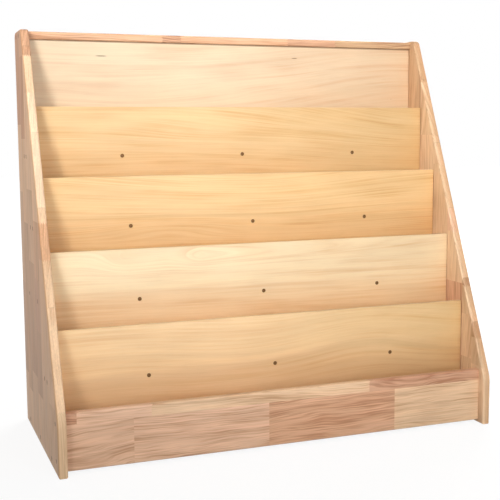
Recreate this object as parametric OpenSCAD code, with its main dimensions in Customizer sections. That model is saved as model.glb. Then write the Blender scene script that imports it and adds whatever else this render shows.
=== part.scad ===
// Front-facing bookshelf: books stand face out in five pockets, stepped back and up between two
// sides with a sloping front edge. The rear is open storage with one deep shelf.
// Origin: on the floor under the middle of the footprint. X to the right, Y to the rear, Z up.

/* [Overall] */
// Width over the two sides
overall_width = 914; // [760:1:1200]
// Depth of the sides from front edge to rear edge
side_depth = 406; // [396:1:460]
// Height of the sides
side_height = 829; // [800:1:900]

/* [Sides] */
// Thickness of each side
side_thickness = 17; // [15:0.5:22]
// Height at which the upright front edge turns into the slope
bend_height = 102; // [92:1:130]
// Radius that softens that turn
bend_radius = 60; // [20:1:90]
// Radius of the two top corners
top_corner_radius = 13; // [6:1:16]
// How far the top of the slope stands in front of the top board
top_reveal = 11; // [6:1:20]

/* [Tiers] */
// Rise from one ledge to the next
tier_rise = 140; // [125:1:150]
// Height of a display panel above the ledge behind it
lip_height = 92; // [70:1:105]
// Front-to-back room in each pocket, panel to panel
pocket_depth = 52.5; // [42:0.5:58]
// Front-to-back room in the top pocket, in front of the back panel
top_pocket_depth = 48; // [40:0.5:56]

/* [Panels] */
// Thickness of the plywood panels
panel_thickness = 9; // [6:0.5:12]
// Gap between a panel's end and the side
panel_end_gap = 1.5; // [0.5:0.1:4]
// Depth of the grooves that the panels stand in
groove_depth = 5; // [3:0.5:6]
// Play on each face of a panel in its groove
groove_play = 0.3; // [0.1:0.05:0.6]
// Wood left behind a groove at the rear edge of a ledge
groove_lip = 8; // [6:0.5:14]
// Play above the back panel's head in the top board's groove
head_play = 0.5; // [0.2:0.1:1.5]

/* [Boards] */
// Thickness of the bottom board, the ledges and the middle shelf
board_thickness = 16; // [14:0.5:20]
// Room under the bottom board and the front rail
toe_gap = 6; // [4:0.5:20]
// How far the bottom board and the top board stop short of the rear edge
rear_inset = 6; // [2:0.5:15]
// Thickness of the top board
top_thickness = 16; // [14:0.5:20]
// How far the top board lies below the tops of the sides
top_drop = 3; // [1:0.5:8]
// How far the top board's front edge stands in front of the back panel
top_overhang = 3.5; // [2:0.5:8]
// Radius of the top board's front edges
top_edge_radius = 2.5; // [1:0.5:4]

/* [Front rail] */
// Height of the rail
rail_height = 110; // [90:1:122]
// Thickness of the rail
rail_thickness = 17; // [16:0.5:20]
// How far the rail stands back from the front edges of the sides
rail_setback = 17.5; // [14:0.5:20]
// Radius of the rail's long edges
rail_edge_radius = 3; // [1:0.5:5]

/* [Panel screws] */
// Diameter of the shank
panel_screw_shank = 4; // [3:0.5:4.5]
// Diameter of the countersunk head
panel_screw_head = 8; // [7:0.5:9]
// Length from the face of the head to the tip
panel_screw_length = 40; // [30:1:45]
// Distance of the outer screws from the middle one
panel_screw_spacing = 264; // [200:1:320]

/* [Side screws and plugs] */
// Diameter of the shank
side_screw_shank = 4.5; // [3.5:0.5:5]
// Diameter of the flat head
side_screw_head = 9; // [7:0.5:9.5]
// Thickness of the flat head
side_screw_head_thickness = 3; // [2:0.5:4]
// Length under the head
side_screw_length = 50; // [40:1:60]
// Diameter of the plug holes in the sides
plug_diameter = 10; // [10:0.5:12]
// Depth of the plug holes in the sides
plug_hole_depth = 9; // [7:0.5:10]
// Distance of the rail's screws from its top and bottom edges
rail_screw_inset = 20; // [14:1:35]
// Distance of the bottom board's end screws from its front and rear edges
bottom_screw_inset = 45; // [30:1:80]
// Distance of the middle shelf's screws from its front and rear edges
shelf_screw_inset = 40; // [30:1:50]
// Distance of a ledge's screws from the faces of its pocket
ledge_screw_inset = 11; // [8:0.5:16]
// Distance of the top board's screws from its front and rear edges
top_screw_inset = 20; // [18:1:28]

/* [Rail dowels] */
// Diameter of the dowels
dowel_diameter = 8; // [6:0.5:10]
// Length of the dowels
dowel_length = 30; // [24:1:36]
// Depth of the dowel holes in the rail
dowel_rail_depth = 11; // [8:0.5:13]
// Distance between neighbouring dowels
dowel_spacing = 220; // [150:1:240]

/* [Hidden] */

// Round holes and screws
$fn = 48;
// Play on the radius between a round piece and its hole
round_play = 0.1;
// Play at the end of a blind hole
end_play = 1;
// How far a cutting shape runs past the face it cuts
past = 1;
// Number of display panels, and the tier whose board is the deep middle shelf
panel_count = 4;
middle_tier = 2;
// Screws in the bottom board's end, and dowels along the rail
bottom_screw_count = 3;
dowel_count = 4;
// Cross recess in a panel screw's head: width, length as a share of the head, depth
recess_width = 1;
recess_share = 0.55;
recess_depth = 1.1;
// Straight rim of a panel screw's head, and how much wider its countersink is
head_rim = 0.3;
sink_margin = 0.8;
// Length of a screw's point for each unit of its diameter
point_ratio = 1.5;

inner_width = overall_width - 2 * side_thickness;
front_y = -side_depth / 2;
rear_y = side_depth / 2;
rail_front_y = front_y + rail_setback;
rail_rear_y = rail_front_y + rail_thickness;
rail_top_z = toe_gap + rail_height;
top_top_z = side_height - top_drop;
top_under_z = top_top_z - top_thickness;

// Front face of display panel k, or of the back panel for the number after the last
function panel_front_y(k) = rail_rear_y + pocket_depth + (k - 1) * (panel_thickness + pocket_depth)
    - (k > panel_count ? pocket_depth - top_pocket_depth : 0);
function panel_rear_y(k) = panel_front_y(k) + panel_thickness;
// Upper face of tier k, where 0 is the bottom board
function tier_top_z(k) = toe_gap + board_thickness + k * tier_rise;
function tier_middle_z(k) = tier_top_z(k) - board_thickness / 2;
function panel_top_z(k) = tier_top_z(k) + lip_height;

back_front_y = panel_front_y(panel_count + 1);
ledges_rear_y = panel_rear_y(panel_count + 1) + groove_lip;
top_front_y = back_front_y - top_overhang;
boards_rear_y = rear_y - rear_inset;

// Front and rear edge of the ledge on tier k
function ledge_front_y(k) = panel_rear_y(k);
function ledge_rear_y(k) = k == middle_tier ? ledges_rear_y : panel_rear_y(k + 1) + groove_lip;

// Where the side screws go, as [y, z], board by board
function even(from, to, n) = [for (i = [0:n - 1]) from + i * (to - from) / (n - 1)];
rail_screw_spots = [for (z = [toe_gap + rail_screw_inset, rail_top_z - rail_screw_inset])
    [(rail_front_y + rail_rear_y) / 2, z]];
bottom_screw_spots = [for (y = even(rail_rear_y + bottom_screw_inset, boards_rear_y - bottom_screw_inset,
    bottom_screw_count)) [y, tier_middle_z(0)]];
function ledge_screw_spots(k) = [for (y = k == middle_tier
    ? [ledge_front_y(k) + shelf_screw_inset, ledge_rear_y(k) - shelf_screw_inset]
    : [ledge_front_y(k) + ledge_screw_inset, panel_front_y(k + 1) - ledge_screw_inset]) [y, tier_middle_z(k)]];
top_screw_spots = [for (y = [top_front_y + top_screw_inset, boards_rear_y - top_screw_inset])
    [y, top_under_z + top_thickness / 2]];
side_screw_spots = concat(rail_screw_spots, bottom_screw_spots, ledge_screw_spots(1), ledge_screw_spots(2),
    ledge_screw_spots(3), ledge_screw_spots(4), top_screw_spots);

panel_screw_xs = [-panel_screw_spacing, 0, panel_screw_spacing];
panel_screw_seat = sink_margin - head_rim - round_play;
dowel_xs = even(-dowel_spacing * (dowel_count - 1) / 2, dowel_spacing * (dowel_count - 1) / 2, dowel_count);
dowel_board_depth = dowel_length - dowel_rail_depth + end_play;

// Outline of a side, from its lower front corner, as [y, z]
side_outline = [[front_y, 0], [front_y, bend_height], [top_front_y - top_reveal, side_height],
    [rear_y, side_height], [rear_y, 0]];

// Extrudes a [y, z] section along X, centred
module along_x(length) {
    translate([-length / 2, 0, 0]) rotate([90, 0, 90]) linear_extrude(length) children();
}

// Turns a shape that points along +Z so that it points along +Y
module towards_rear() {
    rotate([-90, 0, 0]) children();
}

// What a rounded corner takes away from an outline at corner b, between its neighbours a and c
module corner_waste(a, b, c, radius) {
    u = (a - b) / norm(a - b);
    v = (c - b) / norm(c - b);
    half = acos(u * v) / 2;
    centre = b + (u + v) / norm(u + v) * radius / sin(half);
    start = b + u * radius / tan(half);
    end = b + v * radius / tan(half);
    difference() {
        polygon([centre, start + (start - centre) / radius * past, b + (b - centre) / radius * past * 2,
            end + (end - centre) / radius * past]);
        translate(centre) circle(radius, $fn = 96);
    }
}

// Rectangle from [y, z] corner low to corner high, with the corners listed in rounded softened.
// Corners are numbered from the lower front one: lower front, upper front, upper rear, lower rear.
module board_section(low, high, radius, rounded) {
    corners = [low, [low[0], high[1]], high, [high[0], low[1]]];
    difference() {
        polygon(corners);
        for (i = rounded)
            corner_waste(corners[(i + 3) % 4], corners[i], corners[(i + 1) % 4], radius);
    }
}

// Groove across a board for a panel of which the front face is at y, from z upwards or downwards
module groove(y, z, upwards) {
    low_z = upwards ? z : z - groove_depth;
    translate([-inner_width / 2 - past, y - groove_play, low_z - (upwards ? past : 0)])
        cube([inner_width + 2 * past, panel_thickness + 2 * groove_play, groove_depth + past]);
}

// Pilot holes for the side screws in both ends of a board
module end_bores(spots) {
    depth = side_screw_length - (side_thickness - plug_hole_depth) + end_play;
    for (spot = spots, end = [-1, 1])
        translate([end * (inner_width / 2 + past), spot[0], spot[1]])
            rotate([0, -90 * end, 0])
                cylinder(d = side_screw_shank + 2 * round_play, h = depth + past);
}

// Pilot holes for the panel screws in a ledge's front edge
module ledge_bores(k) {
    depth = panel_screw_length + panel_screw_seat - panel_thickness + end_play;
    for (x = panel_screw_xs)
        translate([x, ledge_front_y(k) - past, tier_middle_z(k)])
            towards_rear() cylinder(d = panel_screw_shank + 2 * round_play, h = depth + past);
}

// Hole and countersink through a display panel, from its front face towards +Z
module countersink() {
    hole = panel_screw_shank / 2 + round_play;
    mouth = panel_screw_head / 2 + sink_margin;
    translate([0, 0, -past]) cylinder(r = hole, h = panel_thickness + 2 * past);
    translate([0, 0, -past]) cylinder(r1 = mouth + past, r2 = hole, h = mouth + past - hole);
}

// Point of a screw, from z upwards
module screw_point(diameter) {
    cylinder(d1 = diameter, d2 = diameter / 8, h = diameter * point_ratio);
}

// Countersunk wood screw with a cross recess, head at the origin and point towards +Z
module panel_screw() {
    radius = panel_screw_shank / 2;
    rim = panel_screw_head / 2;
    straight = panel_screw_length - panel_screw_shank * point_ratio;
    difference() {
        union() {
            cylinder(r = rim, h = head_rim);
            translate([0, 0, head_rim]) cylinder(r1 = rim, r2 = radius, h = rim - radius);
            cylinder(r = radius, h = straight);
            translate([0, 0, straight]) screw_point(panel_screw_shank);
        }
        for (turn = [0, 90])
            rotate([0, 0, turn])
                translate([-panel_screw_head * recess_share / 2, -recess_width / 2, -past])
                    cube([panel_screw_head * recess_share, recess_width, recess_depth + past]);
    }
}

// Flat-headed wood screw, underside of the head at the origin and point towards +Z
module side_screw() {
    straight = side_screw_length - side_screw_shank * point_ratio;
    translate([0, 0, -side_screw_head_thickness]) cylinder(d = side_screw_head, h = side_screw_head_thickness);
    cylinder(d = side_screw_shank, h = straight);
    translate([0, 0, straight]) screw_point(side_screw_shank);
}

// Places its children at each side screw on one side, +Z pointing inwards from the outer face
module at_side_screws(side) {
    for (spot = side_screw_spots)
        translate([side * overall_width / 2, spot[0], spot[1]]) rotate([0, -90 * side, 0]) children();
}

// Side with a sloping front edge, its screw holes and plug holes; -1 is the left side, 1 the right
module side_board(side) {
    color("#d9b08c") difference() {
        translate([side * (overall_width - side_thickness) / 2, 0, 0])
            along_x(side_thickness)
                difference() {
                    polygon(side_outline);
                    corner_waste(side_outline[0], side_outline[1], side_outline[2], bend_radius);
                    for (i = [2, 3])
                        corner_waste(side_outline[i - 1], side_outline[i], side_outline[i + 1], top_corner_radius);
                }
        at_side_screws(side) {
            translate([0, 0, -past]) cylinder(d = plug_diameter, h = plug_hole_depth + past);
            translate([0, 0, -past])
                cylinder(d = side_screw_shank + 2 * round_play, h = side_thickness + 2 * past);
        }
    }
}

module side_left() {
    side_board(-1);
}

module side_right() {
    side_board(1);
}

// Top board with rounded front edges and a groove for the back panel's head
module top_board() {
    color("#e3b98f") difference() {
        along_x(inner_width)
            board_section([top_front_y, top_under_z], [boards_rear_y, top_top_z], top_edge_radius, [0, 1]);
        groove(back_front_y, top_under_z, true);
        end_bores(top_screw_spots);
    }
}

// Plain plywood panel from foot_z to head_z with its front face at y
module panel(y, foot_z, head_z) {
    width = inner_width - 2 * panel_end_gap;
    translate([-width / 2, y, foot_z]) cube([width, panel_thickness, head_z - foot_z]);
}

module back_panel() {
    color("#f3dcb4")
        panel(back_front_y, tier_top_z(panel_count) - groove_depth, top_under_z + groove_depth - head_play);
}

// Display panel k, which stands in the board of the tier below and is screwed to the ledge behind it
module display_panel(k) {
    color("#edc891") difference() {
        panel(panel_front_y(k), tier_top_z(k - 1) - groove_depth, panel_top_z(k));
        for (x = panel_screw_xs)
            translate([x, panel_front_y(k), tier_middle_z(k)]) towards_rear() countersink();
    }
}

module display_panel_1() {
    display_panel(1);
}

module display_panel_2() {
    display_panel(2);
}

module display_panel_3() {
    display_panel(3);
}

module display_panel_4() {
    display_panel(4);
}

// Ledge on tier k, behind display panel k, with a groove for the panel that stands on it
module ledge(k) {
    color("#dcb487") difference() {
        translate([-inner_width / 2, ledge_front_y(k), tier_top_z(k) - board_thickness])
            cube([inner_width, ledge_rear_y(k) - ledge_front_y(k), board_thickness]);
        groove(panel_front_y(k + 1), tier_top_z(k), false);
        ledge_bores(k);
        end_bores(ledge_screw_spots(k));
    }
}

module ledge_1() {
    ledge(1);
}

module middle_shelf() {
    ledge(middle_tier);
}

module ledge_3() {
    ledge(3);
}

module ledge_4() {
    ledge(4);
}

// Holes for the rail's dowels, from the rail's rear face towards the rear or into the rail
module dowel_bores(depth, side) {
    for (x = dowel_xs)
        translate([x, rail_rear_y - side * past, tier_middle_z(0)])
            rotate([-90 * side, 0, 0]) cylinder(d = dowel_diameter + 2 * round_play, h = depth + past);
}

// Bottom board, behind the front rail, with a groove for the lowest display panel
module bottom_board() {
    color("#d8ae82") difference() {
        translate([-inner_width / 2, rail_rear_y, toe_gap])
            cube([inner_width, boards_rear_y - rail_rear_y, board_thickness]);
        groove(panel_front_y(1), tier_top_z(0), false);
        dowel_bores(dowel_board_depth, 1);
        end_bores(bottom_screw_spots);
    }
}

// Front rail with rounded long edges at the front and along the top
module front_rail() {
    color("#ddb592") difference() {
        along_x(inner_width)
            board_section([rail_front_y, toe_gap], [rail_rear_y, rail_top_z], rail_edge_radius, [0, 1, 2]);
        dowel_bores(dowel_rail_depth, -1);
        end_bores(rail_screw_spots);
    }
}

module panel_screws(k) {
    color("#5a4632")
        for (x = panel_screw_xs)
            translate([x, panel_front_y(k) + panel_screw_seat, tier_middle_z(k)]) towards_rear() panel_screw();
}

module panel_screws_1() {
    panel_screws(1);
}

module panel_screws_2() {
    panel_screws(2);
}

module panel_screws_3() {
    panel_screws(3);
}

module panel_screws_4() {
    panel_screws(4);
}

module side_screws(side) {
    color("silver") at_side_screws(side) translate([0, 0, plug_hole_depth]) side_screw();
}

module side_screws_left() {
    side_screws(-1);
}

module side_screws_right() {
    side_screws(1);
}

// Wooden plugs, flush with the side's outer face and down to the heads of the screws
module screw_plugs(side) {
    color("#c99d74") at_side_screws(side)
        cylinder(d = plug_diameter - 2 * round_play, h = plug_hole_depth - side_screw_head_thickness);
}

module screw_plugs_left() {
    screw_plugs(-1);
}

module screw_plugs_right() {
    screw_plugs(1);
}

module rail_dowels() {
    color("#e0c8a0")
        for (x = dowel_xs)
            translate([x, rail_rear_y - dowel_rail_depth + end_play / 2, tier_middle_z(0)])
                towards_rear() cylinder(d = dowel_diameter, h = dowel_length);
}

side_left();
side_right();
top_board();
back_panel();
display_panel_1();
display_panel_2();
display_panel_3();
display_panel_4();
ledge_1();
middle_shelf();
ledge_3();
ledge_4();
bottom_board();
front_rail();
panel_screws_1();
panel_screws_2();
panel_screws_3();
panel_screws_4();
side_screws_left();
side_screws_right();
screw_plugs_left();
screw_plugs_right();
rail_dowels();
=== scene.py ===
# Front-facing bookshelf, finished around its packed construction model. Metres, +Z up, front towards -Y.
import math
import random

import bmesh
import bpy
from mathutils import Matrix, Vector


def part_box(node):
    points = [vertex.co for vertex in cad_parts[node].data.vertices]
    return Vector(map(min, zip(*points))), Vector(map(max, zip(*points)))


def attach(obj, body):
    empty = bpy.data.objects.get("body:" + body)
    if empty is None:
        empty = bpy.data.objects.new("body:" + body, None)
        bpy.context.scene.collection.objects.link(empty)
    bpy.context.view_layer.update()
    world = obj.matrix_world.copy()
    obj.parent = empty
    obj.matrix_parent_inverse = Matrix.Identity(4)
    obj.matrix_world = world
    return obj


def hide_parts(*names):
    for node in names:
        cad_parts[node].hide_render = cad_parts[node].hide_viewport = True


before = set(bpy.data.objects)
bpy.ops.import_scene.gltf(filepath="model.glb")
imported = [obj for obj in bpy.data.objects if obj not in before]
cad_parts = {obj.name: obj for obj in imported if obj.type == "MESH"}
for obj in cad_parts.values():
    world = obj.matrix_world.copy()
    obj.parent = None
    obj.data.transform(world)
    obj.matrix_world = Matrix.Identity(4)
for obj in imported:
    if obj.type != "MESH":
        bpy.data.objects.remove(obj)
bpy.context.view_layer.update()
scene = bpy.context.scene
MM = 0.001

# The view.
# One camera in front of the shelf and to its left, level with the upper panels and tilted slightly down.
camera = bpy.data.objects.new("camera", bpy.data.cameras.new("camera"))
scene.collection.objects.link(camera)
scene.camera = camera
camera_turn, camera_tilt, camera_roll = 0.36048, -0.12097, -0.00611
camera.location = (-0.72597, -1.90034, 0.62014)
camera.rotation_euler = (Matrix.Rotation(-camera_turn, 3, "Z")
                         @ Matrix.Rotation(math.pi / 2 + camera_tilt, 3, "X")
                         @ Matrix.Rotation(camera_roll, 3, "Z")).to_euler()
camera.data.sensor_width = 36
camera.data.lens = 69.66
camera.data.clip_end = 30

# The studio.
# A floor and a surround that the camera and reflections see as white. A gridded lamp high at the front left
# is aimed above the top board, a big one in front fills the pockets, and one behind lights the back.
scene.view_settings.view_transform = "Standard"


def add_node(tree, kind, values=None, **settings):
    """A shader node with its settings, and each input linked to a socket or set to a value."""
    node = tree.nodes.new(kind)
    for key, value in settings.items():
        setattr(node, key, value)
    for key, value in (values or {}).items():
        if isinstance(value, bpy.types.NodeSocket):
            tree.links.new(value, node.inputs[key])
        else:
            node.inputs[key].default_value = value
    return node


def calc(tree, operation, *values):
    """One step of arithmetic on sockets and numbers."""
    return add_node(tree, "ShaderNodeMath", dict(enumerate(values)), operation=operation).outputs[0]


def spread(tree, value, from_low, from_high, to_low=0.0, to_high=1.0, curve="LINEAR"):
    """The value moved from one range to another, and held to it."""
    limits = {"Value": value, "From Min": from_low, "From Max": from_high,
              "To Min": to_low, "To Max": to_high}
    return add_node(tree, "ShaderNodeMapRange", limits, interpolation_type=curve).outputs[0]


def seen_directly(tree):
    """1 for camera, mirror and glass rays, 0 for light that falls on things."""
    path = add_node(tree, "ShaderNodeLightPath")
    shown = calc(tree, "MAXIMUM", path.outputs["Is Camera Ray"], path.outputs["Is Glossy Ray"])
    return calc(tree, "MAXIMUM", shown, path.outputs["Is Transmission Ray"])


surround_light = 0.36
world = bpy.data.worlds.new("surround")
scene.world = world
world.use_nodes = True
tree = world.node_tree
tree.nodes.clear()
strength = spread(tree, seen_directly(tree), 0, 1, surround_light, 1)
sky = add_node(tree, "ShaderNodeBackground", {"Color": (1, 1, 1, 1), "Strength": strength})
tree.links.new(sky.outputs[0], add_node(tree, "ShaderNodeOutputWorld").inputs["Surface"])


def studio_lamp(name, place, aim, size, watts, colour=(1.0, 0.985, 0.965), beam=180):
    """A square soft box, a little warmer than white. A grid on it narrows its beam to so many degrees."""
    lamp = bpy.data.lights.new(name, "AREA")
    lamp.size = size
    lamp.energy = watts
    lamp.color = colour
    lamp.spread = math.radians(beam)
    holder = bpy.data.objects.new(name, lamp)
    scene.collection.objects.link(holder)
    holder.location = place
    holder.rotation_euler = (Vector(aim) - Vector(place)).to_track_quat("-Z", "Y").to_euler()


studio_lamp("key_lamp", (-2.7, -3.1, 2.9), (0, 0, 1.25), 1.85, 13, beam=30)
studio_lamp("front_lamp", (0.45, -3.2, 0.95), (0, 0, 0.35), 1.9, 42, (1.0, 0.965, 0.93))
studio_lamp("rear_lamp", (2.2, 3.0, 1.9), (0, 0, 0.4), 2.2, 150)

floor_half_width = 12
floor_colour = 0.15
near_glow, far_glow = 0.88, 1.0
near_reach, far_reach = 0.7, 2.0
surface = bmesh.new()
bmesh.ops.create_grid(surface, x_segments=1, y_segments=1, size=floor_half_width)
floor = bpy.data.objects.new("floor", bpy.data.meshes.new("floor"))
surface.to_mesh(floor.data)
surface.free()
scene.collection.objects.link(floor)
paint = bpy.data.materials.new("floor_paint")
paint.use_nodes = True
tree = paint.node_tree
tree.nodes.clear()
matt = add_node(tree, "ShaderNodeBsdfDiffuse", {"Color": (floor_colour, floor_colour, floor_colour, 1)})
place = add_node(tree, "ShaderNodeTexCoord").outputs["Object"]
reach = add_node(tree, "ShaderNodeVectorMath", {0: place}, operation="LENGTH").outputs["Value"]
glow_level = spread(tree, reach, near_reach, far_reach, near_glow, far_glow)
glow_shown = calc(tree, "MULTIPLY", seen_directly(tree), glow_level)
glow = add_node(tree, "ShaderNodeEmission", {"Color": (1, 1, 1, 1), "Strength": glow_shown})
lit_floor = add_node(tree, "ShaderNodeAddShader", {0: matt.outputs[0], 1: glow.outputs[0]})
tree.links.new(lit_floor.outputs[0], add_node(tree, "ShaderNodeOutputMaterial").inputs["Surface"])
floor.data.materials.append(paint)

# The front rail.
# A hardwood board glued up from staves of different tones, stood on edge across the front, with its long
# edges routed round. Screws through the sides hold its ends, and dowels join it to the bottom board.

# Corners nearer to each other than this, in metres, are one corner.
same_place = 1e-6


def board(section, x_low, x_high):
    """A length of board: its end, given as (y, z) corners, drawn out along X."""
    shape = bmesh.new()
    end = shape.faces.new([shape.verts.new((x_low, y, z)) for y, z in section])
    drawn = bmesh.ops.extrude_face_region(shape, geom=[end], use_keep_orig=True)["geom"]
    moved = [v for v in drawn if isinstance(v, bmesh.types.BMVert)]
    bmesh.ops.translate(shape, verts=moved, vec=(x_high - x_low, 0, 0))
    bmesh.ops.recalc_face_normals(shape, faces=shape.faces)
    return shape


def edges_at(shape, *spots):
    """The edges of a board that run along X through these (y, z) spots."""
    return [e for e in shape.edges
            for y, z in spots
            if all(abs(v.co.y - y) < same_place and abs(v.co.z - z) < same_place for v in e.verts)]


def round_over(shape, edges, radius, segments=4):
    """Rounds these edges with a router bit of that radius."""
    made = bmesh.ops.bevel(shape, geom=edges, offset=radius, offset_type="OFFSET", segments=segments,
                           profile=0.5, affect="EDGES", material=-1, clamp_overlap=True)
    for face in made["faces"]:
        face.smooth = True


def piece_of(shape, name, material, slot, *nodes):
    """Makes the shape a finished piece that stands for those nodes of the construction."""
    mesh = bpy.data.meshes.new(name)
    shape.to_mesh(mesh)
    shape.free()
    mesh.materials.append(material)
    piece = bpy.data.objects.new(name, mesh)
    scene.collection.objects.link(piece)
    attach(piece, "root")
    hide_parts(*nodes)
    return piece


def turned(profile, steps=32):
    """A round solid: its (radius, height) profile spun about +Z."""
    shape = bmesh.new()
    points = [shape.verts.new((radius, 0, height)) for radius, height in profile]
    lines = [shape.edges.new(pair) for pair in zip(points, points[1:])]
    bmesh.ops.spin(shape, geom=points + lines, cent=(0, 0, 0), axis=(0, 0, 1), angle=math.tau,
                   steps=steps, use_merge=True)
    bmesh.ops.remove_doubles(shape, verts=shape.verts, dist=same_place / 10)
    bmesh.ops.recalc_face_normals(shape, faces=shape.faces)
    for face in shape.faces:
        face.smooth = True
    return shape


def set_out(single, spots, way):
    """Copies of a shape that points along +Z, one at each spot and all pointing that way."""
    master = bpy.data.meshes.new("master")
    single.to_mesh(master)
    single.free()
    aim = Vector(way).to_track_quat("Z", "Y").to_matrix().to_4x4()
    together = bmesh.new()
    for spot in spots:
        together.from_mesh(master)
        together.verts.ensure_lookup_table()
        added = together.verts[-len(master.vertices):]
        bmesh.ops.transform(together, verts=added, matrix=Matrix.Translation(spot) @ aim)
    bpy.data.meshes.remove(master)
    return together


def cut_out(piece, *cutters):
    """Takes closed shapes out of a piece."""
    crease = math.radians(35)
    waste = bmesh.new()
    for cutter in cutters:
        chips = bpy.data.meshes.new("chips")
        cutter.to_mesh(chips)
        cutter.free()
        waste.from_mesh(chips)
        bpy.data.meshes.remove(chips)
    tool = bpy.data.objects.new("tool", bpy.data.meshes.new("tool"))
    waste.to_mesh(tool.data)
    waste.free()
    scene.collection.objects.link(tool)
    cut = piece.modifiers.new("cut", "BOOLEAN")
    cut.operation = "DIFFERENCE"
    cut.solver = "EXACT"
    cut.object = tool
    whole = piece.data
    cut_piece = piece.evaluated_get(bpy.context.evaluated_depsgraph_get())
    piece.data = bpy.data.meshes.new_from_object(cut_piece)
    piece.modifiers.remove(cut)
    bpy.data.meshes.remove(whole)
    bpy.data.objects.remove(tool)
    piece.data.name = piece.name
    piece.data.set_sharp_from_angle(angle=crease)


# Each drill starts this far outside the wood.
drill_lead = 1 * MM


def hole(radius, depth):
    """The drill for a plain blind hole, from just outside its mouth."""
    return turned([(0, -drill_lead), (radius, -drill_lead), (radius, depth), (0, depth)])


def middles(node):
    """The middle of each separate solid in a node of the construction."""
    solids = bmesh.new()
    solids.from_mesh(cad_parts[node].data)
    bmesh.ops.remove_doubles(solids, verts=solids.verts, dist=same_place)
    waiting = set(solids.verts)
    found = []
    while waiting:
        reached = [waiting.pop()]
        for vert in reached:
            near = [e.other_vert(vert) for e in vert.link_edges]
            reached += [v for v in set(near) & waiting]
            waiting.difference_update(near)
        corners = [Vector(map(pick, zip(*(v.co for v in reached)))) for pick in (min, max)]
        found.append((corners[0] + corners[1]) / 2)
    solids.free()
    return sorted(found, key=lambda spot: tuple(spot))


pilot_play = 0.1 * MM
side_screw_radius = 2.25 * MM
side_screw_reach = 42 * MM
plug_spots = middles("screw_plugs_left")


def end_holes(node):
    """Pilot holes for the side screws in both ends of a board."""
    low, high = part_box(node)
    spots = [s for s in plug_spots if low.y < s.y < high.y and low.z < s.z < high.z]
    holes = []
    for x, way in ((low.x, 1), (high.x, -1)):
        pilot = hole(side_screw_radius + pilot_play, side_screw_reach)
        holes.append(set_out(pilot, [(x, s.y, s.z) for s in spots], (way, 0, 0)))
    return holes


def tint(code):
    """The linear colour of a #rrggbb code."""
    levels = [int(code[i:i + 2], 16) / 255 for i in (1, 3, 5)]
    return (*[v / 12.92 if v <= 0.04045 else ((v + 0.055) / 1.055) ** 2.4 for v in levels], 1)


def mixed(tree, factor, under, over, mode="MIX"):
    """Two colours mixed by a factor."""
    values = {0: factor, 6: under, 7: over}
    return add_node(tree, "ShaderNodeMix", values, data_type="RGBA", blend_type=mode).outputs[2]


def stained(tree, colour, stain):
    """A colour multiplied by a (red, green, blue) stain."""
    return mixed(tree, 1.0, colour, (*stain, 1), "MULTIPLY")


def lit(tree, colour, light):
    """A colour made lighter or darker."""
    return add_node(tree, "ShaderNodeVectorMath", {0: colour, "Scale": light}, operation="SCALE").outputs[0]


def square_sum(tree, first, second):
    """The squares of two numbers, added."""
    return calc(tree, "ADD", calc(tree, "POWER", first, 2), calc(tree, "POWER", second, 2))


def noise(tree, vector, scales, detail=2.0, roughness=0.5, shift=None):
    """Smooth noise, with its own scale along each axis, in features per metre."""
    place = add_node(tree, "ShaderNodeVectorMath", {0: vector, 1: scales}, operation="MULTIPLY").outputs[0]
    if shift is not None:
        place = add_node(tree, "ShaderNodeVectorMath", {0: place, 1: shift}, operation="ADD").outputs[0]
    values = {"Vector": place, "Scale": 1.0, "Detail": detail, "Roughness": roughness}
    return add_node(tree, "ShaderNodeTexNoise", values).outputs[0]


def lacquered(tree, colour, fibre, pores, sheen=0.35):
    """Satin clear lacquer over wood, sunk a little into its pores."""
    pore_depth = 0.8
    relief_strength, relief_height = 0.25, 0.12 * MM
    smoothest, roughest = 0.34, 0.46
    relief = calc(tree, "MULTIPLY_ADD", pores, -pore_depth, fibre)
    bump = add_node(tree, "ShaderNodeBump", {
        "Height": relief, "Strength": relief_strength, "Distance": relief_height})
    shader = add_node(tree, "ShaderNodeBsdfPrincipled", {
        "Base Color": colour, "Roughness": spread(tree, fibre, 0.3, 0.7, smoothest, roughest),
        "Normal": bump.outputs[0], "Specular IOR Level": sheen})
    tree.links.new(shader.outputs[0], add_node(tree, "ShaderNodeOutputMaterial").inputs["Surface"])


def empty_material(name):
    """A material with no nodes yet, and its node tree."""
    material = bpy.data.materials.new(name)
    material.use_nodes = True
    material.node_tree.nodes.clear()
    return material, material.node_tree


stave_tones = {"bleached": "#fedfbe", "cream": "#f7d5b0", "straw": "#e9c8a3", "wheat": "#dfbe99",
               "apricot": "#ecbe98", "blush": "#e7c0a1", "honey": "#e2b68f", "rose": "#dcae8c",
               "fawn": "#d3a586", "tan": "#cea983", "russet": "#d0966f", "brown": "#c39a74"}


def staves_of_row(tree, reach, ends, staves, chance):
    """The tone of each stave along a row, and a number of its own for each."""
    ramp = add_node(tree, "ShaderNodeValToRGB", {0: reach})
    ramp.color_ramp.interpolation = "CONSTANT"
    marks = ramp.color_ramp.elements
    marks.remove(marks[-1])
    for start, tone in staves:
        place = (start - ends[0]) / (ends[1] - ends[0])
        mark = marks[0] if start == staves[0][0] else marks.new(place)
        mark.position = place
        mark.color = (*tint(stave_tones[tone])[:3], chance.random())
    return ramp.outputs


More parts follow.
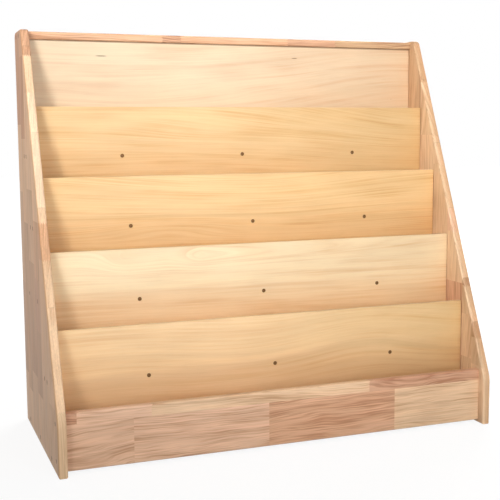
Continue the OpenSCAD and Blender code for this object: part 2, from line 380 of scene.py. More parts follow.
def laid_staves(tree, along, over, deep, ends, glue_lines, rows, seed):
    """The staves' tones, a number for each stave, where its row starts, and the glue between the rows."""
    finger_pitch, finger_slope = 4 * MM, 2.2
    glue_half_width = 0.25 * MM
    number_steps = 1000
    chance = random.Random(seed)
    tooth = calc(tree, "PINGPONG", deep, finger_pitch / 2)
    reach = spread(tree, calc(tree, "MULTIPLY_ADD", tooth, finger_slope, along), ends[0], ends[1])
    tone, number = staves_of_row(tree, reach, ends, rows[0], chance)
    glue, row_start, last_line = 0.0, 0.0, 0.0
    for line, staves in zip(glue_lines, rows[1:]):
        row_tone, row_number = staves_of_row(tree, reach, ends, staves, chance)
        beyond = calc(tree, "GREATER_THAN", over, line)
        tone = mixed(tree, beyond, tone, row_tone)
        number = calc(tree, "MULTIPLY_ADD", beyond, calc(tree, "SUBTRACT", row_number, number), number)
        row_start = calc(tree, "MULTIPLY_ADD", beyond, line - last_line, row_start)
        glue = calc(tree, "MAXIMUM", calc(tree, "COMPARE", over, line, glue_half_width), glue)
        last_line = line
    whole_number = calc(tree, "ROUND", calc(tree, "MULTIPLY", number, number_steps))
    return tone, whole_number, row_start, glue


# The axes of a board, by number.
X, Y, Z = 0, 1, 2


def staved_wood(name, grain, across, ends, glue_lines, rows, seed, streaks=1.0, wave=1.0,
                to_heart=12 * MM, shaded_face=None, shade_reach=2.5 * MM, sheen=0.35):
    """Hardwood staves glued edge to edge, their ends finger-jointed, under clear lacquer.

    grain and across are the axes of the staves' length and of their rows, and the board runs between its
    ends along the grain. Each row lists where its staves start and their tones. The further the staves lie
    from the heart of the tree, the straighter their grain. An outer face, named by its place through the
    board, is darkened as painted shade for that reach in from it.
    """
    material, tree = empty_material(name)
    place = add_node(tree, "ShaderNodeTexCoord").outputs["Object"]
    axes = add_node(tree, "ShaderNodeSeparateXYZ", {0: place}).outputs
    along, over, deep = axes[grain], axes[across], axes[X + Y + Z - grain - across]
    tone, number, row_start, glue = laid_staves(tree, along, over, deep, ends, glue_lines, rows, seed)

    # Each stave is sawn from its own place in a tree, and leans a little against the tree's heart.
    most_lean = 0.06
    heart_aside, heart_below, least_below = 120 * MM, 60 * MM, 20 * MM
    bend_depth, ripple_depth = 20 * MM * wave, 6 * MM * wave
    own = add_node(tree, "ShaderNodeTexWhiteNoise", {"W": number}, noise_dimensions="1D").outputs["Color"]
    lean, drift, pith = add_node(tree, "ShaderNodeSeparateColor", {0: own}).outputs
    far_apart = {0: own, 1: (31, 31, 31)}
    scatter = add_node(tree, "ShaderNodeVectorMath", far_apart, operation="MULTIPLY").outputs[0]
    side_lean = calc(tree, "MULTIPLY_ADD", lean, 2 * most_lean, -most_lean)
    deep_lean = calc(tree, "MULTIPLY_ADD", drift, 2 * most_lean, -most_lean)
    side_way = calc(tree, "ADD",
                    calc(tree, "MULTIPLY_ADD", along, side_lean, calc(tree, "SUBTRACT", over, row_start)),
                    calc(tree, "MULTIPLY_ADD", pith, heart_aside, to_heart))
    deep_way = calc(tree, "ADD",
                    calc(tree, "MULTIPLY_ADD", along, deep_lean, deep),
                    calc(tree, "MULTIPLY_ADD", lean, heart_below, least_below))
    from_heart = calc(tree, "SQRT", square_sum(tree, side_way, deep_way))
    spot = add_node(tree, "ShaderNodeCombineXYZ", {0: along, 1: over, 2: deep}).outputs[0]
    bend = calc(tree, "SUBTRACT", noise(tree, spot, (4, 18, 18), 1.0, 0.5, scatter), 0.5)
    ripple = calc(tree, "SUBTRACT", noise(tree, spot, (14, 60, 60), 1.0, 0.5, scatter), 0.5)
    ring = calc(tree, "MULTIPLY_ADD", bend, bend_depth,
                calc(tree, "MULTIPLY_ADD", ripple, ripple_depth, from_heart))
    ring_place = add_node(tree, "ShaderNodeCombineXYZ", {0: along, 1: ring, 2: pith}).outputs[0]

    # Dark veins follow the rings. They are faint in pale staves and in calm stretches.
    broad = noise(tree, ring_place, (1.5, 110, 40), 2.0, 0.55, scatter)
    narrow = noise(tree, ring_place, (7, 420, 40), 2.0, 0.6, scatter)
    pores = spread(tree, noise(tree, ring_place, (18, 900, 40), 1.0, 0.5, scatter), 0.56, 0.7)
    calm = noise(tree, spot, (7, 34, 34), 1.0, 0.5, scatter)
    paleness = add_node(tree, "ShaderNodeSeparateColor", {0: tone}).outputs["Blue"]
    strength = calc(tree, "MULTIPLY", spread(tree, paleness, 0.24, 0.42, 1.05 * streaks, 0.5 * streaks),
                    spread(tree, calm, 0.34, 0.62, 0.3, 1.2))
    vein = calc(tree, "ADD", spread(tree, broad, 0.42, 0.7, 0, 0.5, "SMOOTHSTEP"),
                spread(tree, narrow, 0.42, 0.66, 0, 0.85, "SMOOTHSTEP"))
    vein = calc(tree, "MULTIPLY_ADD", pores, 0.4, calc(tree, "MULTIPLY", vein, strength))
    colour = mixed(tree, vein, tone, stained(tree, tone, (0.66, 0.53, 0.45)))

    glue_shade = 0.16
    fibre = noise(tree, spot, (16, 520, 520))
    blotch = noise(tree, spot, (4, 22, 22))
    light = calc(tree, "MULTIPLY", spread(tree, blotch, 0.25, 0.75, 0.94, 1.12),
                 spread(tree, fibre, 0.3, 0.7, 0.94, 1.08))
    light = calc(tree, "MULTIPLY", light, calc(tree, "MULTIPLY_ADD", glue, -glue_shade, 1.0))
    # Painted shade: the outer face, and the wood just inside it, darkened towards a shaded brown.
    if shaded_face is not None:
        inward = calc(tree, "ABSOLUTE", calc(tree, "SUBTRACT", deep, shaded_face))
        face_shade_share = spread(tree, inward, 0.5 * MM, shade_reach, 1, 0)
        duller = mixed(tree, 0.5, stained(tree, colour, (0.95, 0.83, 0.69)), tint("#cb9c74"))
        colour = mixed(tree, face_shade_share, colour, duller)
    lacquered(tree, lit(tree, colour, light), fibre, pores, sheen)
    return material


low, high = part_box("front_rail")
rail_glue_line = 94 * MM
rail_rows = [
    [(low.x, "blush"), (-0.310, "blush"), (-0.038, "rose"), (0.240, "straw")],
    [(low.x, "fawn"), (-0.418, "blush"), (-0.275, "straw"), (0.181, "fawn")],
]
rail_wood = staved_wood("rail_wood", X, Z, (low.x, high.x), [rail_glue_line], rail_rows, seed=8,
                        streaks=1.15, to_heart=30 * MM)
shape = board([(low.y, low.z), (low.y, high.z), (high.y, high.z), (high.y, low.z)], low.x, high.x)
rail_edge_radius = 3 * MM
round_over(shape, edges_at(shape, (low.y, low.z), (low.y, high.z), (high.y, high.z)), rail_edge_radius)
front_rail = piece_of(shape, "front_rail_finished", rail_wood, "staved_wood", "front_rail")
dowel_spots = middles("rail_dowels")
dowel_low, dowel_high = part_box("rail_dowels")
dowel_radius = (dowel_high.z - dowel_low.z) / 2
rail_dowel_depth = 11 * MM
dowel_hole = hole(dowel_radius + pilot_play, rail_dowel_depth)
dowel_holes = set_out(dowel_hole, [(s.x, high.y, s.z) for s in dowel_spots], (0, -1, 0))
cut_out(front_rail, dowel_holes, *end_holes("front_rail"))

# The bottom board.
# A staved board that lies behind the rail, just clear of the floor, as deep as the shelf. A groove across
# it takes the foot of the lowest display panel.
edge_ease = 1.0 * MM
groove_play = 0.3 * MM
head_play = 0.5 * MM


def grooved_board(node, panel, upward=True):
    """A flat board with a groove for that panel in its upper face, or else in its under face."""
    low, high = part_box(node)
    panel_low, panel_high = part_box(panel)
    front, rear = panel_low.y - groove_play, panel_high.y + groove_play
    if upward:
        bottom = panel_low.z
        section = [(low.y, low.z), (low.y, high.z), (front, high.z), (front, bottom), (rear, bottom),
                   (rear, high.z), (high.y, high.z), (high.y, low.z)]
    else:
        bottom = panel_high.z + head_play
        section = [(low.y, low.z), (low.y, high.z), (high.y, high.z), (high.y, low.z), (rear, low.z),
                   (rear, bottom), (front, bottom), (front, low.z)]
    return board(section, low.x, high.x)


def mixed_staves(seed, start, stop, row_count):
    """Rows of staves of random lengths and tones."""
    usual_tones = ["cream", "straw", "wheat", "honey", "rose", "fawn"]
    shortest, longest = 0.17, 0.42
    chance = random.Random(seed)
    rows = []
    for _ in range(row_count):
        staves = []
        place = start
        while place < stop:
            staves.append((place, chance.choice(usual_tones)))
            place += chance.uniform(shortest, longest)
        rows.append(staves)
    return rows


def flat_board_wood(name, node, seed, row_width=55 * MM):
    """Staved wood for a board that lies flat, with its rows from front to rear."""
    low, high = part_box(node)
    row_count = max(1, round((high.y - low.y) / row_width))
    glue_lines = [low.y + (high.y - low.y) * i / row_count for i in range(1, row_count)]
    rows = mixed_staves(seed, low.x, high.x, row_count)
    return staved_wood(name, X, Y, (low.x, high.x), glue_lines, rows, seed)


low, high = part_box("bottom_board")
shape = grooved_board("bottom_board", "display_panel_1")
round_over(shape, edges_at(shape, (high.y, low.z), (high.y, high.z)), edge_ease, 2)
bottom_wood = flat_board_wood("bottom_board_wood", "bottom_board", 4)
bottom_board = piece_of(shape, "bottom_board_finished", bottom_wood, "staved_wood", "bottom_board")
board_dowel_depth = 20 * MM
dowel_hole = hole(dowel_radius + pilot_play, board_dowel_depth)
dowel_holes = set_out(dowel_hole, [(s.x, low.y, s.z) for s in dowel_spots], (0, 1, 0))
cut_out(bottom_board, dowel_holes, *end_holes("bottom_board"))

# The rail dowels.
# Four hardwood pegs, their ends chamfered, glued half into the rail and half into the bottom board.


def plain_wood(name, code, grain, seed, sheen=0.35):
    """Wood of one tone, for small turned pieces. grain is the axis of its fibres."""
    material, tree = empty_material(name)
    place = add_node(tree, "ShaderNodeTexCoord").outputs["Object"]
    fine = [500, 500, 500]
    fine[grain] = 12
    rings = [160, 160, 160]
    rings[grain] = 6
    fibre = noise(tree, place, fine, 2.0, 0.5, (seed, seed, seed))
    ring = noise(tree, place, rings, 3.0, 0.6, (seed, 0, 0))
    pores = spread(tree, noise(tree, place, [s * 2 for s in fine], 1.0), 0.6, 0.72)
    base = tint(code)
    colour = mixed(tree, spread(tree, ring, 0.42, 0.7), base, stained(tree, base, (0.72, 0.58, 0.46)))
    light = calc(tree, "MULTIPLY", spread(tree, fibre, 0.3, 0.7, 0.94, 1.05),
                 calc(tree, "MULTIPLY_ADD", pores, -0.25, 1.0))
    lacquered(tree, lit(tree, colour, light), fibre, pores, sheen)
    return material


dowel_wood = plain_wood("dowel_wood", "#e2c29a", Y, 3.0)
dowel_chamfer = 1.0 * MM
dowel_length = dowel_high.y - dowel_low.y
dowel = turned([(0, 0), (dowel_radius - dowel_chamfer, 0), (dowel_radius, dowel_chamfer),
                (dowel_radius, dowel_length - dowel_chamfer),
                (dowel_radius - dowel_chamfer, dowel_length), (0, dowel_length)])
dowels = set_out(dowel, [(s.x, dowel_low.y, s.z) for s in dowel_spots], (0, 1, 0))
rail_dowels = piece_of(dowels, "rail_dowels_finished", dowel_wood, "plug_wood", "rail_dowels")
chamfer_crease = math.radians(30)
rail_dowels.data.set_sharp_from_angle(angle=chamfer_crease)

# The ledges and the middle shelf.
# Staved boards behind the display panels, one to a tier. Each has a groove for the panel that stands on
# it and pilot holes for the screws of the panel in front, and the second one runs on as a deep shelf.
panel_screw_radius = 2 * MM
panel_screw_reach = 32.4 * MM
for tier, node in enumerate(["ledge_1", "middle_shelf", "ledge_3", "ledge_4"], 1):
    low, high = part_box(node)
    upper_panel = f"display_panel_{tier + 1}" if tier < 4 else "back_panel"
    shape = grooved_board(node, upper_panel)
    round_over(shape, edges_at(shape, (high.y, low.z), (high.y, high.z)), edge_ease, 2)
    wood = flat_board_wood(f"{node}_wood", node, 20 + tier)
    ledge = piece_of(shape, f"{node}_finished", wood, "staved_wood", node)
    pilots = set_out(hole(panel_screw_radius + pilot_play, panel_screw_reach),
                     [(s.x, low.y, s.z) for s in middles(f"panel_screws_{tier}")], (0, 1, 0))
    cut_out(ledge, pilots, *end_holes(node))

# The display panels.
# Plywood sheets faced with rotary-cut veneer, sanded and lacquered, with their edges eased. Each stands in
# a groove in the board below and is screwed to the ledge behind it through three countersunk holes.
ply_thickness = 1.3 * MM


def swelling(tree, x, z, eye_x, eye_z, left_half, right_half, half_z):
    """1 in the middle of an eye in the veneer, falling off around it."""
    leftward = calc(tree, "MULTIPLY_ADD", x, 1 / (left_half * MM), -eye_x / left_half)
    rightward = calc(tree, "MULTIPLY_ADD", x, 1 / (right_half * MM), -eye_x / right_half)
    sideways = calc(tree, "ADD", calc(tree, "MINIMUM", leftward, 0.0),
                    calc(tree, "MAXIMUM", rightward, 0.0))
    upward = calc(tree, "MULTIPLY_ADD", z, 1 / (half_z * MM), eye_z / half_z)
    return calc(tree, "EXPONENT", calc(tree, "MULTIPLY", square_sum(tree, sideways, upward), -1.0))


def veneered_plywood(name, node, tones, painted_foot_shade, seed, fineness, contrast, wander, eyes,
                     flecks=(), vein_tint=(0.86, 0.72, 0.6), shaded_underside=None):
    """Plywood with a flowing figure, its colour falling off from its left end to its right as painted light
    over the veneer's tone, and darkening towards its foot as painted shade.

    Eyes are swellings of the figure: place from the left and below the head, length to the left and to the
    right, half height and strength, in millimetres. Flecks are short dark marks: place, half length and
    half height. The last argument is the height of a board's underside, just below which a dark line of
    painted shade is laid on the sheet.
    """
    material, tree = empty_material(name)
    low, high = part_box(node)
    place = add_node(tree, "ShaderNodeTexCoord").outputs["Object"]
    from_corner = {"Vector": place, "Location": (-low.x, -low.y, -high.z)}
    place = add_node(tree, "ShaderNodeMapping", from_corner).outputs[0]
    x, depth, z = add_node(tree, "ShaderNodeSeparateXYZ", {0: place}).outputs

    # The figure flows around its eyes.
    flow = noise(tree, place, (1.6, 1, 7), 1.5, 0.5, (seed, seed, seed))
    figure = calc(tree, "MULTIPLY_ADD", calc(tree, "SUBTRACT", flow, 0.5), wander, z)
    for *eye, strength in eyes:
        figure = calc(tree, "MULTIPLY_ADD", swelling(tree, x, z, *eye), strength * MM, figure)
    spot = add_node(tree, "ShaderNodeCombineXYZ", {0: x, 1: depth, 2: figure}).outputs[0]
    broad = noise(tree, spot, (1.5, 40, fineness * 0.25), 2.0, 0.5, (seed * 3, 0, seed))
    fine = noise(tree, spot, (2.4, 40, fineness), 3.0, 0.6, (seed * 5, 0, seed))
    hair = noise(tree, spot, (5, 40, fineness * 2.4), 1.0, 0.5, (seed * 7, 0, seed))
    calm = noise(tree, place, (7, 1, 40), 1.0, 0.5, (seed, 0, seed * 2))
    vein = calc(tree, "ADD", spread(tree, broad, 0.42, 0.72, 0, 0.45, "SMOOTHSTEP"),
                spread(tree, fine, 0.42, 0.68, 0, 0.65, "SMOOTHSTEP"))
    vein = calc(tree, "MULTIPLY_ADD", spread(tree, hair, 0.45, 0.7), 0.35, vein)
    vein = calc(tree, "MULTIPLY", vein, spread(tree, calm, 0.35, 0.62, 0.45, 1.25))

    # The colour falls off along the sheet towards its right end as painted light, darkens towards its foot
    # as painted shade, and the veins darken it.
    foot_start, foot_end, foot_wander = -60 * MM, -125 * MM, 0.12
    across = spread(tree, x, 0, high.x - low.x)
    # Painted light: the colour falls off from the sheet's left end to its right.
    head = mixed(tree, spread(tree, across, 0.4, 1), tint(tones[0]), tint(tones[1]))
    # Painted shade: the colour darkens towards the sheet's foot.
    foot_shade_place = calc(tree, "MULTIPLY_ADD", calc(tree, "SUBTRACT", broad, 0.5), foot_wander, z)
    foot_shade_share = spread(tree, foot_shade_place, foot_start, foot_end, 0, 1, "SMOOTHSTEP")
    colour = mixed(tree, foot_shade_share, head, stained(tree, head, painted_foot_shade))
    colour = mixed(tree, calc(tree, "MULTIPLY", vein, contrast), colour, stained(tree, colour, vein_tint))
    for fleck_x, fleck_z, half_x, half_z in flecks:
        dx = calc(tree, "MULTIPLY_ADD", x, 1 / (half_x * MM), -fleck_x / half_x)
        dz = calc(tree, "MULTIPLY_ADD", z, 1 / (half_z * MM), fleck_z / half_z)
        fleck = spread(tree, square_sum(tree, dx, dz), 0.3, 1, 0.8, 0)
        colour = mixed(tree, fleck, colour, tint("#7f5934"))
    # Painted shade: a dark line on the sheet just below the board's underside.
    if shaded_underside is not None:
        line_foot, line_top = shaded_underside - high.z - 2.8 * MM, shaded_underside - high.z - 1.4 * MM
        painted_shade_line = spread(tree, z, line_foot, line_top, 0, 0.85)
        colour = mixed(tree, painted_shade_line, colour, stained(tree, colour, (0.42, 0.32, 0.26)))

    # Every second ply has its grain the other way and shows a different tone at the sheet's edges.
    layer = calc(tree, "FLOOR", calc(tree, "DIVIDE", depth, ply_thickness))
    cross_ply = calc(tree, "FLOORED_MODULO", layer, 2)
    end_grain = noise(tree, place, (900, 30, 300), 1.0)
    cross_tone = mixed(tree, spread(tree, end_grain, 0.3, 0.7), tint("#f4dcb2"), tint("#e6c79a"))
    colour = mixed(tree, cross_ply, colour, cross_tone)

    fibre = noise(tree, place, (12, 60, 700))
    pores = spread(tree, noise(tree, place, (30, 60, 1500), 1.0), 0.62, 0.74)
    cloud = noise(tree, place, (5, 5, 16), 2.0, 0.5, (seed, 0, 0))
    light = calc(tree, "MULTIPLY", spread(tree, cloud, 0.25, 0.75, 0.95, 1.04),
                 spread(tree, fibre, 0.3, 0.7, 0.97, 1.02))
    light = calc(tree, "MULTIPLY", light, calc(tree, "MULTIPLY_ADD", pores, -0.1, 1.0))
    lacquered(tree, lit(tree, colour, light), fibre, pores)
    return material


def plain_panel(node):
    """A sheet with all its edges eased."""
    sheet_ease = 0.9 * MM
    low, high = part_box(node)
    shape = board([(low.y, low.z), (low.y, high.z), (high.y, high.z), (high.y, low.z)], low.x, high.x)
    round_over(shape, list(shape.edges), sheet_ease, 3)
    return shape


# Each sheet's two tones paint in light falling off to the right, and its stain paints shade at its foot.
panel_woods = {
    1: veneered_plywood("panel_1_veneer", "display_panel_1", ("#f9d6a5", "#dbba87"), (0.8, 0.73, 0.7),
                        seed=1.7, fineness=190, contrast=0.52, wander=0.03,
                        eyes=[(640, 60, 170, 170, 80, -34), (100, 60, 260, 260, 90, -26)]),
    2: veneered_plywood("panel_2_veneer", "display_panel_2", ("#fce6be", "#ecd4ac"), (0.87, 0.75, 0.66),
                        seed=5.2, fineness=110, contrast=0.68, wander=0.03,
                        eyes=[(150, 24, 50, 170, 24, 34), (310, 22, 48, 420, 22, 46)]),
    3: veneered_plywood("panel_3_veneer", "display_panel_3", ("#f6d29b", "#e7c28c"), (0.86, 0.8, 0.76),
                        seed=8.4, fineness=260, contrast=0.85, wander=0.025,
                        eyes=[(430, 10, 300, 300, 70, 32), (260, 108, 150, 150, 20, -24)]),
    4: veneered_plywood("panel_4_veneer", "display_panel_4", ("#eecc98", "#d9b885"), (0.92, 0.87, 0.82),
                        seed=3.9, fineness=280, contrast=0.85, wander=0.025,
                        eyes=[(330, 60, 220, 220, 30, 14), (900, 40, 360, 360, 90, 60)]),
}
screw_sink_mouth = 4.8 * MM
panel_drill_depth = 12 * MM
for number, veneer in panel_woods.items():
    node = f"display_panel_{number}"
    low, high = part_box(node)
    slot = "pale_plywood" if number == 2 else "honey_plywood"
    panel = piece_of(plain_panel(node), f"{node}_finished", veneer, slot, node)
    clear = panel_screw_radius + pilot_play
    countersink = turned([(0, -drill_lead), (screw_sink_mouth + drill_lead, -drill_lead),
                          (clear, screw_sink_mouth - clear), (clear, panel_drill_depth),
                          (0, panel_drill_depth)])
    spots = [(s.x, low.y, s.z) for s in middles(f"panel_screws_{number}")]
    cut_out(panel, set_out(countersink, spots, (0, 1, 0)))

# The panel screws.
# Bronzed countersunk wood screws with a cross recess, three to a panel, driven just below the face.
panel_head_rim = 0.3 * MM


def driver_tip(head):
    """The cross-shaped bit that sinks the recess, narrowing towards its point."""
    depth, wing, half, above, narrowing = 2.2 * MM, head * 0.6, 0.55 * MM, 0.3 * MM, 0.45
    corner = [(wing, -half, -above), (wing, half, -above), (half, half, -above)]
    tip = bmesh.new()
    mouth = tip.faces.new([tip.verts.new(Matrix.Rotation(math.pi / 2 * quarter, 3, "Z") @ Vector(co))
                           for quarter in range(4) for co in corner])
    drawn = bmesh.ops.extrude_face_region(tip, geom=[mouth], use_keep_orig=True)["geom"]
    point = [v for v in drawn if isinstance(v, bmesh.types.BMVert)]
    bmesh.ops.scale(tip, verts=point, vec=(narrowing, narrowing, 1))
    bmesh.ops.translate(tip, verts=point, vec=(0, 0, depth + above))
    bmesh.ops.recalc_face_normals(tip, faces=tip.faces)
    return tip


def wood_screw(head, shank, length, rim, flat_head=0.0, pitch=1.8 * MM):
    """A threaded screw along +Z, the face of its head at the origin. A flat head has that thickness."""
    if flat_head:
        under = flat_head
        top = [(0, 0), (head - rim, 0), (head, rim), (head, under), (shank, under)]
    else:
        under = rim + head - shank
        chamfer, neck = rim * 0.4, shank * 0.98
        top = [(0, 0), (head - chamfer, 0), (head, chamfer), (head, rim), (neck, under)]
    core = shank * 0.78
    core_step = 0.5 * MM
    tip_radius, tip_length = core * 0.12, 0.2 * MM
    plain_share, taper_length = 0.3, shank * 3
    thread_start = under + (length - under) * plain_share
    taper_start = length - taper_length
    shape = turned(top + [(shank, thread_start), (core, thread_start + core_step), (core, taper_start),
                          (tip_radius, length - tip_length), (0, length)], 24)
    blank = bpy.data.objects.new("blank", bpy.data.meshes.new("blank"))
    shape.to_mesh(blank.data)
    shape.clear()
    scene.collection.objects.link(blank)
    cut_out(blank, driver_tip(head))
    shape.from_mesh(blank.data)
    bpy.data.meshes.remove(blank.data)

    ridge_half, ridge_foot, steps = 0.35 * MM, core - 0.1 * MM, 14
    turns = int((taper_start - thread_start) / pitch) - 1
    start = thread_start + pitch * 0.6
    thread = bmesh.new()
    end = thread.faces.new([thread.verts.new(co) for co in (
        (ridge_foot, 0, start - ridge_half), (shank, 0, start), (ridge_foot, 0, start + ridge_half))])
    bmesh.ops.spin(thread, geom=[end], cent=(0, 0, 0), axis=(0, 0, 1), dvec=(0, 0, pitch / steps),
                   angle=math.tau * turns, steps=steps * turns)
    bmesh.ops.recalc_face_normals(thread, faces=thread.faces)
    ridge = bpy.data.meshes.new("ridge")
    thread.to_mesh(ridge)
    thread.free()
    shape.from_mesh(ridge)
    bpy.data.meshes.remove(ridge)
    return shape


def metal(name, code, worn_code, roughness):
    """Plated steel, its plating a little uneven."""
    material, tree = empty_material(name)
    place = add_node(tree, "ShaderNodeTexCoord").outputs["Object"]
    scratch_strength, scratch_depth = 0.15, 0.05 * MM
    patch = noise(tree, place, (700, 700, 700), 3.0, 0.6)
    scratch = noise(tree, place, (3000, 3000, 3000), 1.0)
    colour = mixed(tree, spread(tree, patch, 0.45, 0.7), tint(code), tint(worn_code))
    bump = add_node(tree, "ShaderNodeBump", {
        "Height": scratch, "Strength": scratch_strength, "Distance": scratch_depth})
    shader = add_node(tree, "ShaderNodeBsdfPrincipled", {
        "Base Color": colour, "Metallic": 0.85, "Normal": bump.outputs[0],
        "Roughness": spread(tree, patch, 0.3, 0.7, roughness - 0.06, roughness + 0.08)})
    tree.links.new(shader.outputs[0], add_node(tree, "ShaderNodeOutputMaterial").inputs["Surface"])
    return material


bronze = metal("bronze_plating", "#6c4a2b", "#87643b", 0.42)
for number in panel_woods:
    node = f"panel_screws_{number}"
    low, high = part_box(node)
    head_radius = (high.z - low.z) / 2
    screw = wood_screw(head_radius, panel_screw_radius, high.y - low.y, panel_head_rim)
    screws = set_out(screw, [(s.x, low.y, s.z) for s in middles(node)], (0, 1, 0))
    piece_of(screws, f"{node}_finished", bronze, "bronzed_screw", node)

# The back panel.
# Plywood with the palest veneer, closing the top pocket at the rear. Its foot stands in a groove in the
# uppermost ledge and its head runs in a groove under the top board.
# The back panel carries painted light falling off to the right, painted shade at its foot, and a dark line
# of painted shade under the top board.
back_veneer = veneered_plywood(
    "back_veneer", "back_panel", ("#eed9b8", "#dabd9a"), (0.94, 0.92, 0.89),
    seed=6.3, fineness=120, contrast=0.75, wander=0.04,
    eyes=[(300, 120, 260, 260, 40, 18), (900, 60, 420, 420, 110, -60)],
    flecks=[(147, 34.5, 14, 1.3), (585, 30.5, 8, 1.2), (831, 119.5, 0.6, 1.2)],
    vein_tint=(0.9, 0.75, 0.67), shaded_underside=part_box("top_board")[0].z)
piece_of(plain_panel("back_panel"), "back_panel_finished", back_veneer, "pale_plywood", "back_panel")

# The top board.
# A staved board across the top, let in between the sides just below their tops. Its front edges are
# routed round and a groove in its under face takes the head of the back panel.
low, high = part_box("top_board")
shape = grooved_board("top_board", "back_panel", upward=False)
top_edge_radius = 2.7 * MM
round_over(shape, edges_at(shape, (low.y, low.z), (low.y, high.z)), top_edge_radius)
round_over(shape, edges_at(shape, (high.y, low.z), (high.y, high.z)), edge_ease, 2)
top_glue_line = 160 * MM
top_rows = [
    [(low.x, "apricot"), (-0.160, "rose"), (-0.118, "apricot"), (0.130, "rose"), (0.247, "tan")],
    [(low.x, "straw"), (-0.210, "honey"), (0.095, "straw"), (0.330, "rose")],
]
top_wood = staved_wood("top_board_wood", X, Y, (low.x, high.x), [top_glue_line], top_rows, seed=5)
top_board = piece_of(shape, "top_board_finished", top_wood, "staved_wood", "top_board")
cut_out(top_board, *end_holes("top_board"))

# The sides.
# Two staved boards with the grain upright, sawn to the sloping front edge, with rounded corners and every
# edge routed round. Each has a row of screw holes, counterbored for plugs, into every board between them.
bend_height = 102 * MM
bend_radius = 60 * MM
top_corner_radius = 13 * MM
top_reveal = 11 * MM
side_edge_radius = 3 * MM
plug_hole_radius = 5 * MM
plug_hole_depth = 9 * MM
side_drill_depth = 20 * MM


def corner_length(before, corner, after, radius):
    """How much of each edge a rounding of that radius takes at a corner."""
    angle = (Vector(before) - Vector(corner)).angle(Vector(after) - Vector(corner))
    return radius / math.tan(angle / 2)


def finished_side(name, node, wood, outer_way):
    """Makes a side, its outer face looking along outer_way on X."""
    low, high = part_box(node)
    slope_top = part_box("top_board")[0].y - top_reveal
    outline = [(low.y, low.z), (low.y, low.z + bend_height), (slope_top, high.z), (high.y, high.z),
               (high.y, low.z)]
    shape = board(outline, low.x, high.x)
    for corner, radius in ((1, bend_radius), (2, top_corner_radius), (3, top_corner_radius)):
        taken = corner_length(outline[corner - 1], outline[corner], outline[corner + 1], radius)
        round_over(shape, edges_at(shape, outline[corner]), taken, 10)
    rim = [e for e in shape.edges if abs(e.verts[0].co.x - e.verts[1].co.x) < same_place]
    round_over(shape, rim, side_edge_radius, 5)
    side = piece_of(shape, name, wood, "staved_wood", node)
    clear = side_screw_radius + pilot_play
    counterbore = turned([(0, -drill_lead), (plug_hole_radius, -drill_lead),
                          (plug_hole_radius, plug_hole_depth), (clear, plug_hole_depth),
                          (clear, side_drill_depth), (0, side_drill_depth)])
    face = low.x if outer_way < 0 else high.x
    cut_out(side, set_out(counterbore, [(face, s.y, s.z) for s in plug_spots], (-outer_way, 0, 0)))


low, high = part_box("side_left")
left_glue_lines = [-0.1175, -0.0397, 0.022, 0.096, 0.150]
left_rows = [
    [(low.z, "straw"), (0.120, "cream")],
    [(low.z, "straw"), (0.150, "cream"), (0.385, "apricot"), (0.452, "cream")],
    [(low.z, "cream"), (0.105, "brown"), (0.235, "fawn"), (0.340, "honey"), (0.452, "bleached")],
    [(low.z, "straw"), (0.135, "brown"), (0.365, "wheat"), (0.510, "bleached"), (0.700, "cream"),
     (0.776, "rose")],
    [(low.z, "cream"), (0.085, "tan"), (0.255, "tan"), (0.440, "cream"), (0.612, "russet"),
     (0.776, "rose")],
    [(low.z, "cream"), (0.115, "brown"), (0.310, "wheat"), (0.500, "cream"), (0.640, "russet")],
]
# The left side's outer face carries painted shade.
left_wood = staved_wood("left_side_wood", Z, Y, (low.z, high.z), left_glue_lines, left_rows, seed=7,
                        streaks=0.9, wave=0.5, to_heart=50 * MM, shaded_face=low.x, sheen=0.1)
finished_side("side_left_finished", "side_left", left_wood, -1)

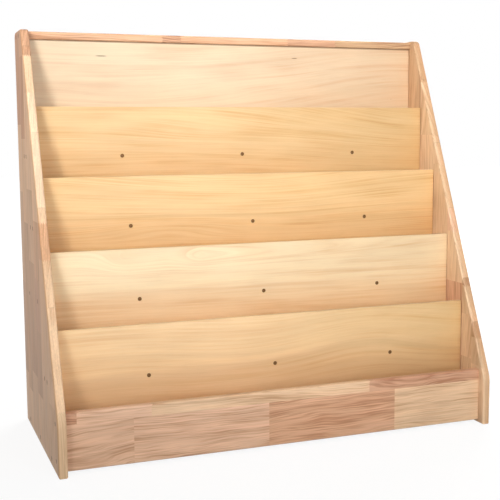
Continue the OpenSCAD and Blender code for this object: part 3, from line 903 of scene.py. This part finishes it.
low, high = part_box("side_right")
right_glue_lines = [-0.155, -0.116, -0.052, 0.010, 0.072, 0.135]
right_rows = [
    [(low.z, "straw"), (0.120, "wheat"), (0.180, "brown")],
    [(low.z, "wheat"), (0.130, "straw"), (0.225, "wheat"), (0.285, "brown")],
    [(low.z, "rose"), (0.290, "straw"), (0.400, "blush")],
    [(low.z, "honey"), (0.270, "wheat"), (0.545, "straw")],
    [(low.z, "wheat"), (0.350, "straw"), (0.610, "wheat"), (0.735, "tan")],
    [(low.z, "honey"), (0.300, "apricot"), (0.655, "tan")],
    [(low.z, "cream"), (0.220, "rose"), (0.580, "wheat")],
]
# The right side's outer face and the outer part of its sloping edge carry painted shade.
right_wood = staved_wood("right_side_wood", Z, Y, (low.z, high.z), right_glue_lines, right_rows, seed=11,
                         streaks=0.8, wave=0.3, to_heart=120 * MM, shaded_face=high.x, shade_reach=15 * MM)
finished_side("side_right_finished", "side_right", right_wood, 1)

# The side screws.
# Zinc-plated wood screws with flat heads, driven through the sides into the ends of the boards, at the
# bottom of the plug holes.
zinc = metal("zinc_plating", "#8f9093", "#b3b0a6", 0.34)
side_head_radius = 4.5 * MM
side_head_thickness = 3 * MM
side_head_rim = 0.5 * MM
screw_low, screw_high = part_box("side_screws_left")
for node, start, way in (("side_screws_left", screw_low.x, 1), ("side_screws_right", -screw_low.x, -1)):
    screw = wood_screw(side_head_radius, side_screw_radius, screw_high.x - screw_low.x, side_head_rim,
                       side_head_thickness)
    screws = set_out(screw, [(start, s.y, s.z) for s in plug_spots], (way, 0, 0))
    piece_of(screws, f"{node}_finished", zinc, "plated_screw", node)

# The screw plugs.
# Short wooden plugs, darker than the sides, glued over the screws' heads and sanded flush.
plug_wood = plain_wood("plug_wood", "#9c6a47", Y, 9.0, 0.1)
plug_radius = 4.9 * MM
plug_inset = 0.15 * MM
plug_rim = 0.25 * MM
plug_low, plug_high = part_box("screw_plugs_left")
plug_length = plug_high.x - plug_low.x
for node, face, way in (("screw_plugs_left", plug_low.x, 1), ("screw_plugs_right", -plug_low.x, -1)):
    plug = turned([(0, plug_inset), (plug_radius - plug_rim, plug_inset),
                   (plug_radius, plug_inset + plug_rim), (plug_radius, plug_length), (0, plug_length)])
    plugs = set_out(plug, [(face, s.y, s.z) for s in plug_spots], (way, 0, 0))
    plugs = piece_of(plugs, f"{node}_finished", plug_wood, "plug_wood", node)
    plugs.data.set_sharp_from_angle(angle=chamfer_crease)
